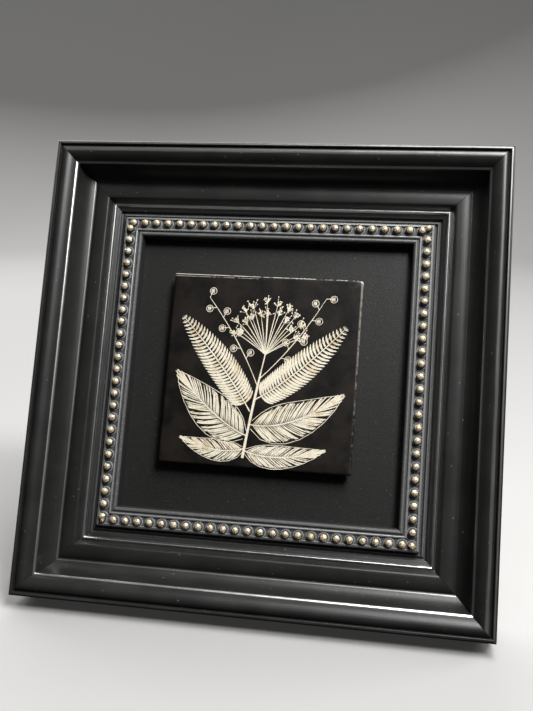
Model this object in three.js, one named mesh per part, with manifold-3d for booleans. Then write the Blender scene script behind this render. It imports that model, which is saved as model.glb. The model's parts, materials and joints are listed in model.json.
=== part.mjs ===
/**
 * A square picture frame that stands on a table, with a small scratchboard panel in it.
 *
 * Millimetres, +Z up, the picture faces -Y. The frame leans back and rests on the rear edge of its
 * bottom length and on the foot of a hinged strut. The origin is under the middle of the whole
 * object, on the surface it stands on.
 *
 * The frame is laid out in its own flat axes first: X to the right, Y up in the picture's plane and
 * Z out of the picture, with the foremost plane of the moulding at Z = 0. Sections are drawn as
 * (inset, depth): inset runs from the outer edge towards the picture, depth runs backwards.
 */
import * as THREE from 'three';
import { mergeVertices } from 'three/addons/utils/BufferGeometryUtils.js';
import Module from 'manifold-3d';

const wasm = await Module();
wasm.setup();

// Driving dimensions of the whole frame
const SIDE = 250;
const HALF = SIDE / 2;
const LEAN = THREE.MathUtils.degToRad(20);
const GAP = 0.3;
const MERGE_DISTANCE = 1e-5;
const FOOT_TOLERANCE = 1e-3;
const HOLE_SIDES = 12;
const CURVE_STEPS = 6;
const BACK_DEPTH = 33;
const BACK_TAPER = 3;
const LIP_DEPTH = 12;

// Inner edges of the moulding and of the slip
const SIGHT_INSET = 34.9;
const SLIP_INSET = 50.2;

// Rebate behind the moulding, where the slip and the boards lie
const REBATE_INSET = 31;
const REBATE_DEPTH = 20.5;
const BOARD_SIDE = SIDE - 2 * (REBATE_INSET + GAP);

// Boards, from the front to the back
const MAT_FRONT = 23;
const MAT_THICKNESS = 1.5;
const BACKING_THICKNESS = 3;
const FILLER_FRONT = MAT_FRONT + MAT_THICKNESS + GAP;
const BACKING_FRONT = BACK_DEPTH - BACKING_THICKNESS;

// Panel, set a little left of and above the middle, and turned a little
const PANEL_SIDE = 104;
const PANEL_FRONT = 15.5;
const PANEL_THICKNESS = 4;
const PANEL_BEVEL = 0.8;
const PANEL_X = -2.4;
const PANEL_Y = 2.3;
const PANEL_TURN = THREE.MathUtils.degToRad(-0.25);
const SPACER_SIDE = 94;
const SPACER_FRONT = PANEL_FRONT + PANEL_THICKNESS + GAP;

// Beads on the slip: one row on each length, every row with its own start
const BEAD_RADIUS = 2.25;
const BEAD_INSET = 42.4;
const BEAD_DEPTH = 16;
const BEAD_FOOT = 1.3;
const BEAD_SHOULDER = THREE.MathUtils.degToRad(42);
const BEAD_SIDES = 8;
const BEAD_PITCH = 6.66;
const BEADS_PER_ROW = 25;
const ROW_SHIFT = { bottom: -2.0, right: -1.5, top: 0.2, left: 0 };

// Turn buttons and their screws
const BUTTON = { length: 26, width: 10, thickness: 1.2, inset: 24, rise: 45 };
const SCREW = { shank: 1.4, hole: 1.7, length: 12, head: 3.2, dome: 1.8 };

// Hinge of the strut
const PIN_HEIGHT = 160 - HALF;
const PIN_DEPTH = 35.2;
const PIN_RADIUS = 0.8;
const PIN_HOLE = 1.1;
const KNUCKLE_RADIUS = 1.9;
const LEAF = { halfWidth: 15, strutHalf: 12.5, knuckleHalf: 4.9, thickness: 0.8, length: 20, clear: 2.4 };
const RIVET = { shank: 1.2, hole: 1.5, head: 2.3, dome: 1.1, x: 8.5, y: 12 };

// Strut: its board lies between the front and back planes of the hinge's knuckles
const STRUT_ANGLE = THREE.MathUtils.degToRad(38.5);
const STRUT = { front: 1.4, back: -1.4, topHalf: 18, footHalf: 31, top: -3.4, corner: 5 };

const TURNS = { bottom: 0, right: 1, top: 2, left: 3 };

const finish = (color, roughness, metalness = 0) =>
  new THREE.MeshStandardMaterial({ color, roughness, metalness });

const FINISHES = {
  moulding: finish(0x16171a, 0.38),
  slip: finish(0x24282d, 0.5),
  mat: finish(0x1b1b1c, 0.95),
  panel: finish(0x1a1614, 0.35),
  foam: finish(0x151515, 0.9),
  backing: finish(0x6f5236, 0.8),
  strut: finish(0x161616, 0.75),
  steel: finish(0x9a9890, 0.35, 1),
};

/** A closed geometry as a solid that can be joined and cut. */
function solidOf(geometry) {
  const bare = geometry.clone();
  bare.deleteAttribute('normal');
  bare.deleteAttribute('uv');
  const merged = mergeVertices(bare, MERGE_DISTANCE);
  return new wasm.Manifold(new wasm.Mesh({
    numProp: 3,
    vertProperties: new Float32Array(merged.attributes.position.array),
    triVerts: new Uint32Array(merged.index.array),
  }));
}

/** A solid back as a geometry. */
function geometryOf(solid) {
  const mesh = solid.getMesh();
  const geometry = new THREE.BufferGeometry();
  geometry.setAttribute('position', new THREE.BufferAttribute(mesh.vertProperties, 3));
  geometry.setIndex(new THREE.BufferAttribute(mesh.triVerts, 1));
  return geometry;
}

const joined = (first, ...others) =>
  geometryOf(others.reduce((solid, other) => solid.add(solidOf(other)), solidOf(first)));

const cut = (first, ...tools) =>
  geometryOf(tools.reduce((solid, tool) => solid.subtract(solidOf(tool)), solidOf(first)));

/** A box between two corners. */
function boxBetween([x0, y0, z0], [x1, y1, z1]) {
  const box = new THREE.BoxGeometry(x1 - x0, y1 - y0, z1 - z0);
  return box.translate((x0 + x1) / 2, (y0 + y1) / 2, (z0 + z1) / 2);
}

/** A round bar along X or Z. */
function bar(radius, from, to, axis, sides = 16) {
  const cylinder = new THREE.CylinderGeometry(radius, radius, to - from, sides);
  cylinder.translate(0, (from + to) / 2, 0);
  return axis === 'x' ? cylinder.rotateZ(-Math.PI / 2) : cylinder.rotateX(Math.PI / 2);
}

/** A flat board with its front face at a depth. */
function board(side, front, thickness) {
  return boxBetween([-side / 2, -side / 2, -front - thickness], [side / 2, side / 2, -front]);
}

/** How far a length runs to each side of its middle at an inset, short of the mitre's gap. */
const mitreReach = (inset) => HALF - inset - GAP / Math.SQRT2;

/** One length of the square: a section drawn as (inset, -depth), mitred at both ends. */
function mitredLength(outline) {
  const geometry = new THREE.ExtrudeGeometry(outline, {
    depth: 2, bevelEnabled: false, curveSegments: CURVE_STEPS,
  });
  const position = geometry.attributes.position;
  for (let i = 0; i < position.count; i += 1) {
    const inset = position.getX(i);
    const along = (position.getZ(i) - 1) * mitreReach(inset);
    position.setXYZ(i, along, inset - HALF, position.getY(i));
  }
  return geometry;
}

/** Section of the wide outer moulding. */
function mouldingOutline() {
  const outline = new THREE.Shape();
  outline.moveTo(BACK_TAPER, -BACK_DEPTH);
  outline.lineTo(0, -LIP_DEPTH);
  outline.lineTo(0, -0.5);
  outline.lineTo(0.5, 0);
  outline.lineTo(1.6, 0);
  outline.lineTo(2.6, -1);
  outline.lineTo(3.3, -1);
  outline.bezierCurveTo(3.9, 0.7, 8.6, 1.1, 11.2, -2.7);
  outline.lineTo(11.3, -3.3);
  outline.lineTo(12.6, -3.3);
  outline.bezierCurveTo(13.6, -9.5, 14.8, -14.8, 18.8, -15.5);
  outline.quadraticCurveTo(19.5, -14.9, 20.1, -15.9);
  outline.bezierCurveTo(22.5, -14.9, 25, -14.5, 27.5, -14.7);
  outline.bezierCurveTo(29, -14.9, 29.8, -17.6, 31.2, -18.6);
  outline.quadraticCurveTo(32.3, -16.6, 33.3, -18.6);
  outline.lineTo(SIGHT_INSET, -19.4);
  outline.lineTo(SIGHT_INSET, -REBATE_DEPTH);
  outline.lineTo(REBATE_INSET, -REBATE_DEPTH);
  outline.lineTo(REBATE_INSET, -BACK_DEPTH);
  return outline;
}

/** Section of the narrow inner slip, whose tongue lies behind the moulding. */
function slipOutline() {
  const back = MAT_FRONT - GAP;
  const tongue = REBATE_DEPTH + GAP;
  const floor = BEAD_DEPTH + 1;
  const outline = new THREE.Shape();
  outline.moveTo(REBATE_INSET + GAP, -back);
  outline.lineTo(REBATE_INSET + GAP, -tongue);
  outline.lineTo(SIGHT_INSET + GAP, -tongue);
  outline.lineTo(35.5, -19.5);
  outline.lineTo(37.4, -18.8);
  outline.lineTo(37.7, -19.8);
  outline.lineTo(38.5, -19.8);
  outline.lineTo(38.8, -16.4);
  outline.lineTo(39.3, -16);
  outline.lineTo(40.1, -16.1);
  outline.lineTo(40.4, -floor);
  outline.lineTo(45.1, -floor);
  outline.lineTo(45.5, -16.3);
  outline.lineTo(46.4, -16.1);
  outline.lineTo(46.7, -16.8);
  outline.lineTo(47, -16.2);
  outline.lineTo(48.4, -16.3);
  outline.lineTo(48.8, -17);
  outline.lineTo(48.9, -18.9);
  outline.lineTo(SLIP_INSET, -19.7);
  outline.lineTo(SLIP_INSET, -back);
  return outline;
}

/** One round bead at a place along its length, flattened where it meets the mitre. */
function bead(along) {
  const profile = [
    new THREE.Vector2(0, -BEAD_FOOT),
    new THREE.Vector2(Math.sqrt(BEAD_RADIUS ** 2 - BEAD_FOOT ** 2), -BEAD_FOOT),
    new THREE.Vector2(BEAD_RADIUS, 0),
    new THREE.Vector2(BEAD_RADIUS * Math.cos(BEAD_SHOULDER), BEAD_RADIUS * Math.sin(BEAD_SHOULDER)),
    new THREE.Vector2(0, BEAD_RADIUS),
  ];
  const geometry = new THREE.LatheGeometry(profile, BEAD_SIDES);
  geometry.rotateX(Math.PI / 2);
  geometry.translate(along, BEAD_INSET - HALF, -BEAD_DEPTH);
  const position = geometry.attributes.position;
  for (let i = 0; i < position.count; i += 1) {
    const reach = mitreReach(position.getY(i) + HALF);
    position.setX(i, THREE.MathUtils.clamp(position.getX(i), -reach, reach));
  }
  return geometry;
}

/** The slip's length with its row of beads in one piece with it. */
function beadedLength(shift) {
  const middle = (BEADS_PER_ROW - 1) / 2;
  const beads = Array.from({ length: BEADS_PER_ROW }, (_, i) => bead(shift + (i - middle) * BEAD_PITCH));
  return joined(mitredLength(slipOutline()), ...beads);
}

/** Where the turn buttons' screws go into a side length, in the length's own axes. */
const screwPlaces = [-BUTTON.rise, BUTTON.rise].map((along) => [along, BUTTON.inset - HALF]);

/** The moulding's length, drilled from behind where screws go in. */
function drilledMoulding(places) {
  const length = mitredLength(mouldingOutline());
  if (places.length === 0) return length;
  const holes = places.map(([x, y]) =>
    bar(SCREW.hole, -BACK_DEPTH - 1, GAP + SCREW.length - BACK_DEPTH, 'z').translate(x, y, 0));
  return cut(length, ...holes);
}

/** Panel with its front edges broken by a small bevel. */
function panelBoard() {
  const half = PANEL_SIDE / 2;
  const inner = half - PANEL_BEVEL;
  const square = new THREE.Shape();
  square.moveTo(-inner, -inner);
  square.lineTo(inner, -inner);
  square.lineTo(inner, inner);
  square.lineTo(-inner, inner);
  const core = new THREE.ExtrudeGeometry(square, {
    depth: PANEL_THICKNESS - 2 * PANEL_BEVEL,
    bevelThickness: PANEL_BEVEL,
    bevelSize: PANEL_BEVEL,
    bevelSegments: 1,
  });
  return core.translate(0, 0, PANEL_BEVEL - PANEL_THICKNESS - PANEL_FRONT);
}

/** A flat bar with round ends and a screw hole near one of them, reaching towards +Y. */
function turnButton() {
  const radius = BUTTON.width / 2;
  const outline = new THREE.Shape();
  outline.absarc(0, 0, radius, Math.PI, 2 * Math.PI);
  outline.absarc(0, BUTTON.length - BUTTON.width, radius, 0, Math.PI);
  const hole = new THREE.Path().absarc(0, 0, SCREW.hole, 0, 2 * Math.PI);
  outline.holes.push(hole);
  return new THREE.ExtrudeGeometry(outline, {
    depth: BUTTON.thickness, bevelEnabled: false, curveSegments: CURVE_STEPS,
  }).translate(0, 0, -BACK_DEPTH - GAP - BUTTON.thickness);
}

/** A fastener turned about Z: a shank forwards from its domed head, which is at the back. */
function headed(shank, head, dome, seat, tip) {
  const profile = [
    new THREE.Vector2(0, seat - dome),
    new THREE.Vector2(head * 0.6, seat - dome * 0.8),
    new THREE.Vector2(head, seat),
    new THREE.Vector2(shank, seat),
    new THREE.Vector2(shank, tip),
    new THREE.Vector2(0, tip),
  ];
  return new THREE.LatheGeometry(profile, HOLE_SIDES).rotateX(Math.PI / 2);
}

/** Tools for a pair of rivet holes through what lies between two Z planes, at a height. */
const rivetHoles = (back, front, y) => [-RIVET.x, RIVET.x].map((x) =>
  bar(RIVET.hole, back - 1, front + 1, 'z', HOLE_SIDES).translate(x, y, 0));

/** The leaf on the backing board: a plate above the pin with a knuckle at each side. */
function fixedLeaf() {
  const front = -BACK_DEPTH - GAP + PIN_DEPTH;
  const back = front - LEAF.thickness;
  const plate = boxBetween([-LEAF.halfWidth, LEAF.clear, back], [LEAF.halfWidth, LEAF.length, front]);
  const inner = LEAF.knuckleHalf + GAP;
  const sides = [-1, 1].flatMap((side) => {
    const [from, to] = side < 0 ? [-LEAF.halfWidth, -inner] : [inner, LEAF.halfWidth];
    const web = boxBetween([from, 0, back], [to, LEAF.clear + 1, front]);
    return [web, bar(KNUCKLE_RADIUS, from, to, 'x')];
  });
  const bore = bar(PIN_HOLE, -LEAF.halfWidth - 1, LEAF.halfWidth + 1, 'x');
  return cut(joined(plate, ...sides), bore, ...rivetHoles(back, front, RIVET.y));
}

/** The leaf on the strut: a plate behind its board with one knuckle in the middle. */
function strutLeaf() {
  const front = STRUT.back - GAP;
  const back = front - LEAF.thickness;
  const half = LEAF.strutHalf;
  const plate = boxBetween([-half, -LEAF.length, back], [half, STRUT.top, front]);
  const web = boxBetween([-LEAF.knuckleHalf, STRUT.top - 1, back], [LEAF.knuckleHalf, 0, front]);
  const knuckle = bar(KNUCKLE_RADIUS, -LEAF.knuckleHalf, LEAF.knuckleHalf, 'x');
  const bore = bar(PIN_HOLE, -LEAF.knuckleHalf - 1, LEAF.knuckleHalf + 1, 'x');
  return cut(joined(plate, web, knuckle), bore, ...rivetHoles(back, front, -RIVET.y));
}

/** Height of the hinge's pin above the table, from the rear edge that the frame rests on. */
const PIN_RISE = (PIN_HEIGHT + HALF - BACK_TAPER) * Math.cos(LEAN)
  - (PIN_DEPTH - BACK_DEPTH) * Math.sin(LEAN);

/** The strut's board hangs from the pin, widens downwards and is cut level with the table. */
function strutBoard() {
  const steep = Math.cos(STRUT_ANGLE - LEAN);
  const tilt = Math.sin(STRUT_ANGLE - LEAN);
  const footAt = (z) => (tilt * z - PIN_RISE) / steep;
  const lowest = footAt(STRUT.back);
  const outline = new THREE.Shape();
  outline.moveTo(-STRUT.footHalf, lowest);
  outline.lineTo(STRUT.footHalf, lowest);
  outline.lineTo(STRUT.topHalf, STRUT.top - STRUT.corner);
  outline.quadraticCurveTo(STRUT.topHalf, STRUT.top, STRUT.topHalf - STRUT.corner, STRUT.top);
  outline.lineTo(STRUT.corner - STRUT.topHalf, STRUT.top);
  outline.quadraticCurveTo(-STRUT.topHalf, STRUT.top, -STRUT.topHalf, STRUT.top - STRUT.corner);
  const geometry = new THREE.ExtrudeGeometry(outline, {
    depth: STRUT.front - STRUT.back, bevelEnabled: false, curveSegments: CURVE_STEPS,
  }).translate(0, 0, STRUT.back);
  const position = geometry.attributes.position;
  for (let i = 0; i < position.count; i += 1) {
    const onFoot = Math.abs(position.getY(i) - lowest) < FOOT_TOLERANCE;
    if (onFoot) position.setY(i, footAt(position.getZ(i)));
  }
  return cut(geometry, ...rivetHoles(STRUT.back, STRUT.front, -RIVET.y));
}

function mesh(name, geometry, material) {
  const part = new THREE.Mesh(geometry, material);
  part.name = name;
  return part;
}

const flat = new THREE.Group();
const strut = new THREE.Group();

// Four mitred lengths of moulding and four of beaded slip
for (const [side, quarter] of Object.entries(TURNS)) {
  const screwed = side === 'left' || side === 'right';
  const moulding = mesh(`moulding_${side}`, drilledMoulding(screwed ? screwPlaces : []), FINISHES.moulding);
  const slip = mesh(`bead_slip_${side}`, beadedLength(ROW_SHIFT[side]), FINISHES.slip);
  moulding.rotation.z = quarter * Math.PI / 2;
  slip.rotation.z = quarter * Math.PI / 2;
  flat.add(moulding, slip);
}

// Mat, filler and backing board, with the panel on its spacer in front of the mat
const backingHoles = rivetHoles(-BACK_DEPTH, -BACKING_FRONT, PIN_HEIGHT + RIVET.y);
const backing = cut(board(BOARD_SIDE, BACKING_FRONT, BACKING_THICKNESS), ...backingHoles);
const panel = mesh('art_panel', panelBoard(), FINISHES.panel);
const spacerBoard = board(SPACER_SIDE, SPACER_FRONT, MAT_FRONT - GAP - SPACER_FRONT);
const spacer = mesh('panel_spacer', spacerBoard, FINISHES.foam);
for (const piece of [panel, spacer]) {
  piece.position.set(PANEL_X, PANEL_Y, 0);
  piece.rotation.z = PANEL_TURN;
}
flat.add(
  mesh('mat_board', board(BOARD_SIDE, MAT_FRONT, MAT_THICKNESS), FINISHES.mat),
  mesh('filler_board', board(BOARD_SIDE, FILLER_FRONT, BACKING_FRONT - GAP - FILLER_FRONT), FINISHES.foam),
  mesh('backing_board', backing, FINISHES.backing),
  panel,
  spacer,
);

// Turn buttons on the side lengths, each with its screw
const screwSeat = BACK_DEPTH + 2 * GAP + BUTTON.thickness;
for (const side of ['left', 'right']) {
  screwPlaces.forEach(([along, inset], i) => {
    const name = `${side}_${i + 1}`;
    const holder = new THREE.Group();
    const button = mesh(`turn_button_${name}`, turnButton(), FINISHES.steel);
    const shape = headed(SCREW.shank, SCREW.head, SCREW.dome, -screwSeat, SCREW.length - BACK_DEPTH);
    const screw = mesh(`button_screw_${name}`, shape, FINISHES.steel);
    button.position.set(along, inset, 0);
    screw.position.set(along, inset, 0);
    holder.rotation.z = TURNS[side] * Math.PI / 2;
    holder.add(button, screw);
    flat.add(holder);
  });
}

// Hinge and strut turn about the pin
const hinge = new THREE.Group();
hinge.position.set(0, PIN_HEIGHT, -PIN_DEPTH);
const leafBack = PIN_DEPTH - BACK_DEPTH - GAP - LEAF.thickness;
hinge.add(
  mesh('hinge_leaf', fixedLeaf(), FINISHES.steel),
  mesh('hinge_pin', bar(PIN_RADIUS, -LEAF.halfWidth, LEAF.halfWidth, 'x'), FINISHES.steel),
  strut,
);
strut.rotation.x = STRUT_ANGLE;
strut.add(
  mesh('strut_leaf', strutLeaf(), FINISHES.steel),
  mesh('strut_board', strutBoard(), FINISHES.strut),
);
for (const [name, x] of [['left', -RIVET.x], ['right', RIVET.x]]) {
  const boardTip = PIN_DEPTH - BACKING_FRONT - GAP;
  const boardRivet = headed(RIVET.shank, RIVET.head, RIVET.dome, leafBack - GAP, boardTip);
  const strutSeat = STRUT.back - LEAF.thickness - 2 * GAP;
  const strutRivetShape = headed(RIVET.shank, RIVET.head, RIVET.dome, strutSeat, STRUT.front);
  const onBoard = mesh(`hinge_rivet_${name}`, boardRivet, FINISHES.steel);
  const onStrut = mesh(`strut_rivet_${name}`, strutRivetShape, FINISHES.steel);
  onBoard.position.set(x, RIVET.y, 0);
  onStrut.position.set(x, -RIVET.y, 0);
  hinge.add(onBoard);
  strut.add(onStrut);
}
flat.add(hinge);

// Lean the frame back, stand it on its rear bottom edge and centre the whole over the origin
flat.rotation.x = Math.PI / 2 - LEAN;
const model = new THREE.Group();
model.add(flat);
model.updateMatrixWorld(true);
const box = new THREE.Box3().setFromObject(model, true);
flat.position.set(0, -(box.min.y + box.max.y) / 2, -box.min.z);
model.updateMatrixWorld(true);

export default model;
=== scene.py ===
"""Looks of a square picture frame that leans back on a strut, with a small engraved panel in it.

Shapes are worked out in millimetres in the frame's own flat axes: X to the right, Y up in the
picture's plane, Z out of the picture, the foremost plane of the moulding at Z = 0. Sections are
drawn as (inset, depth): inset from the outer edge towards the picture, depth backwards.
"""

import json
import math

import bpy
import numpy as np
from mathutils import Matrix, Vector

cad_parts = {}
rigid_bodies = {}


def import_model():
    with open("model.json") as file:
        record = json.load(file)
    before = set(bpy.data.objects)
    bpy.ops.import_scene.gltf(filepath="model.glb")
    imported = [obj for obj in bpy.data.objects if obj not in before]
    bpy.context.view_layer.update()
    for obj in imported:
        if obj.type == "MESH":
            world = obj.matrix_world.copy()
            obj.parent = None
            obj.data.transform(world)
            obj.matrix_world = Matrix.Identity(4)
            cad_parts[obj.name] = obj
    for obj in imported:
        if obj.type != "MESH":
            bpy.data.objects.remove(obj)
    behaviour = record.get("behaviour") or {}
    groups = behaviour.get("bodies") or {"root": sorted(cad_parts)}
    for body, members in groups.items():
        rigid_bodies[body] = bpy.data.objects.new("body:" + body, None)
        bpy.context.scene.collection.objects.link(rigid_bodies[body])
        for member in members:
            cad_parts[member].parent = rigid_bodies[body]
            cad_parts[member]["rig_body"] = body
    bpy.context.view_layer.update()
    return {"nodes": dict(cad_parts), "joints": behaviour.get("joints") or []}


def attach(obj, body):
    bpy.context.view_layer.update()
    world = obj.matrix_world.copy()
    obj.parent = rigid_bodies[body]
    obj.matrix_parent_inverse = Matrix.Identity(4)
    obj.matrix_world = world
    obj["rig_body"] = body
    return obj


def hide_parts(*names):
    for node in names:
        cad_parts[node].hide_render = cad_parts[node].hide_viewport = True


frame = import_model()
rng = np.random.default_rng(7)

# Sizes in millimetres that the CAD source has too, and the angle of the frame's lean
SIDE = 250.0
HALF = SIDE / 2
LEAN = math.radians(20)
BACK_DEPTH = 33.0
SIGHT_INSET = 34.9
SLIP_INSET = 50.2
REBATE_INSET = 31.0
REBATE_DEPTH = 20.5
GAP = 0.3
TURNS = {"bottom": 0, "right": 1, "top": 2, "left": 3}

# Beads. Each row starts at its own place, and some run past the mitre or hold one bead more
BEAD_RADIUS = 2.25
BEAD_INSET = 42.4
BEAD_DEPTH = 16.0
BEAD_PITCH = 6.69
BEADS_PER_ROW = 25
BEAD_JITTER = 0.05
SMALLEST_BEAD = 0.96
MORE_BEADS = {"right": 1}
WHOLE_END = {"right": 2.4, "top": 0.8, "left": 0.8}
ROW_SHIFT = {"bottom": -2.7, "right": -2.75, "top": 0.7, "left": 1.0}

# Panel
PANEL_HALF = 52.0
PANEL_FRONT = 15.5
PANEL_THICKNESS = 4.0
PANEL_CENTRE = (-2.4, 2.3)
PANEL_TURN = math.radians(-0.25)

# Fastenings behind
BUTTON = {"length": 26.0, "width": 10.0, "thickness": 1.2, "inset": 24.0, "rise": 45.0}
BUTTON_EDGE = 0.35
SCREW = {"shank": 1.4, "head": 3.2, "dome": 1.8, "length": 12.0}
RIVET = {"shank": 1.2, "head": 2.3, "dome": 1.1, "x": 8.5, "y": 12.0}
RIVET_TIP = -30.3
PIN = np.array([0.0, 35.0, -35.2])
LEAF_THICKNESS = 0.8
STRUT_ANGLE = math.radians(38.5)
STRUT = {
    "front": 1.4, "back": -1.4, "top_half": 18.0, "foot_half": 31.0, "top": -3.4, "corner": 5.0}
STRUT_EDGE = 0.5
PIN_PLACE = np.array(frame["joints"][0]["pos_m"])


# Places

def turned(points, angle, axis):
    """Points turned about a main axis by an angle."""
    return points @ np.array(Matrix.Rotation(angle, 3, axis)).T


def stand(points):
    """Own millimetres to the row's metres: turned about X until the picture leans back, then moved
    so that the hinge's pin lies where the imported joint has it."""
    return turned((points - PIN) / 1000, math.pi / 2 - LEAN, "X") + PIN_PLACE


def hang(points):
    """The strut's own millimetres, measured from the pin, to the row's metres at the open pose."""
    return stand(turned(points, STRUT_ANGLE, "X") + PIN)


def on_panel(points):
    """Millimetres from the middle of the panel's face to the frame's own axes."""
    return turned(points, PANEL_TURN, "Z") + np.array([*PANEL_CENTRE, -PANEL_FRONT])


# Mesh making

def make_piece(name, points, faces, finish, cad_nodes, lay=None, place=stand, crease=34):
    """A closed mesh as one piece on a CAD body. The faces are turned round if the volume that they
    enclose, the sum of each fan triangle's triple product, comes out negative."""
    placed = place(points)
    if sum(fan_volume(placed, group) for group in faces) < 0:
        faces = [group[:, ::-1] for group in faces]
    mesh = bpy.data.meshes.new(name)
    mesh.from_pydata(placed.tolist(), [], [face for group in faces for face in group.tolist()])
    mesh.update()
    mesh.shade_smooth()
    mesh.set_sharp_from_angle(angle=math.radians(crease))
    if lay is not None:
        made = mesh.attributes.new("lay", "FLOAT_VECTOR", "POINT")
        made.data.foreach_set("vector", np.asarray(lay, np.float32).ravel())
    mesh.materials.append(finish)
    piece = bpy.data.objects.new(name, mesh)
    bpy.context.scene.collection.objects.link(piece)
    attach(piece, piece_body(cad_nodes[0]))
    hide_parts(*cad_nodes)


def piece_body(cad_node):
    """The body that a CAD node rides on."""
    return frame["nodes"][cad_node]["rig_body"]


def fan_volume(points, group):
    """Six times the volume under a group of faces with the same number of corners."""
    first = points[group[:, 0]]
    second = points[group[:, 1:-1]]
    third = points[group[:, 2:]]
    return np.einsum("fj,fkj->", first, np.cross(second, third))


def grid_faces(rows, columns):
    """Quads between neighbouring rows of points, the last column joined to the first."""
    row = np.arange(rows - 1)[:, None] * columns
    column = np.arange(columns)
    after = (column + 1) % columns
    quads = [row + column, row + after, row + columns + after, row + columns + column]
    return np.stack(quads, -1).reshape(-1, 4)


def shell_faces(rows, columns, shells=1):
    """Faces of closed shells, each with the same rows of points: its sides as quads, and its first
    and last row as one face each."""
    start = (np.arange(shells) * rows * columns)[:, None, None]
    column = np.arange(columns)
    ends = np.stack([column[::-1], (rows - 1) * columns + column])
    return [(start + grid_faces(rows, columns)).reshape(-1, 4), (start + ends).reshape(-1, columns)]


def curve(start, first, second, end, steps=24):
    """Points of a cubic curve with two controls, without its start."""
    t = np.linspace(0, 1, steps + 1)[1:, None]
    weights = [(1 - t) ** 3, 3 * t * (1 - t) ** 2, 3 * t ** 2 * (1 - t), t ** 3]
    return sum(w * np.array(p) for w, p in zip(weights, (start, first, second, end)))


def bow(start, control, end, steps=16):
    """Points of a quadratic curve, without its start."""
    start, control, end = (np.array(p, float) for p in (start, control, end))
    return curve(start, (start + 2 * control) / 3, (end + 2 * control) / 3, end, steps)


# Even steps of the walk round an outline, and how fast a turn counts as a sharp arris
WALK_STEP = 0.03
SHARPNESS_GAIN = 1.4


def rounded_outline(outline, radius, turn_step=9.0, length_step=1.6):
    """A closed outline with every corner rounded, and how sharply it turns outwards at each point.

    The outline is walked in even steps and every point is averaged with its neighbours under a bell
    curve of the given width. The walk is then thinned so that each step holds an equal share of
    turning plus length."""
    outline = np.asarray(outline, float)
    after = np.roll(outline, -1, 0)
    if np.sum(outline[:, 0] * after[:, 1] - after[:, 0] * outline[:, 1]) < 0:
        outline = outline[::-1]
    closed = np.vstack([outline, outline[:1]])
    walked = np.concatenate([[0], np.cumsum(np.linalg.norm(np.diff(closed, axis=0), axis=1))])
    count = int(walked[-1] / WALK_STEP)
    at = np.arange(count) * walked[-1] / count
    path = np.stack([np.interp(at, walked, closed[:, k]) for k in range(2)], 1)
    bell = np.exp(-2 * (math.pi * radius * np.fft.fftfreq(count, WALK_STEP)) ** 2)
    path = np.fft.ifft(np.fft.fft(path, axis=0) * bell[:, None], axis=0).real
    steps = np.roll(path, -1, 0) - path
    heading = np.arctan2(steps[:, 1], steps[:, 0])
    turning = (heading - np.roll(heading, 1) + math.pi) % (2 * math.pi) - math.pi
    share = np.abs(turning) / math.radians(turn_step) + np.linalg.norm(steps, axis=1) / length_step
    total = np.concatenate([[0], np.cumsum(share)])
    kept = int(total[-1]) + 1
    wanted = np.arange(kept) * total[-1] / kept
    index = np.interp(wanted, total, np.arange(count + 1))
    ring = np.vstack([path, path[:1]])
    points = np.stack([np.interp(index, np.arange(count + 1), ring[:, k]) for k in range(2)], 1)
    sharpness = np.clip(turning / WALK_STEP * radius * SHARPNESS_GAIN, 0, 1)
    arris = np.interp(index, np.arange(count), sharpness)
    return points, arris


# Shader making

class Value:
    """One output of a node. Sums, products and comparisons on it add Math nodes."""

    def __init__(self, finish, socket):
        self.finish = finish
        self.socket = socket

    def maths(self, operation, *terms):
        inputs = dict(enumerate(terms))
        return self.finish.node("ShaderNodeMath", {"operation": operation}, inputs)

    def __add__(self, other):
        return self.maths("ADD", self, other)

    def __sub__(self, other):
        return self.maths("SUBTRACT", self, other)

    def __rsub__(self, other):
        return self.maths("SUBTRACT", other, self)

    def __mul__(self, other):
        return self.maths("MULTIPLY", self, other)

    def __gt__(self, other):
        return self.maths("GREATER_THAN", self, other)

    def __lt__(self, other):
        return self.maths("LESS_THAN", self, other)

    __radd__ = __add__
    __rmul__ = __mul__

    def size(self):
        """The value without its sign."""
        return self.maths("ABSOLUTE", self)

    def larger(self, other):
        """The larger of two values."""
        return self.maths("MAXIMUM", self, other)

    def between(self, low, high):
        """0 below low, 1 above high and a smooth step from one to the other, either way round."""
        return self.finish.node(
            "ShaderNodeMapRange", {"interpolation_type": "SMOOTHSTEP"},
            {"Value": self, "From Min": low, "From Max": high})


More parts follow.
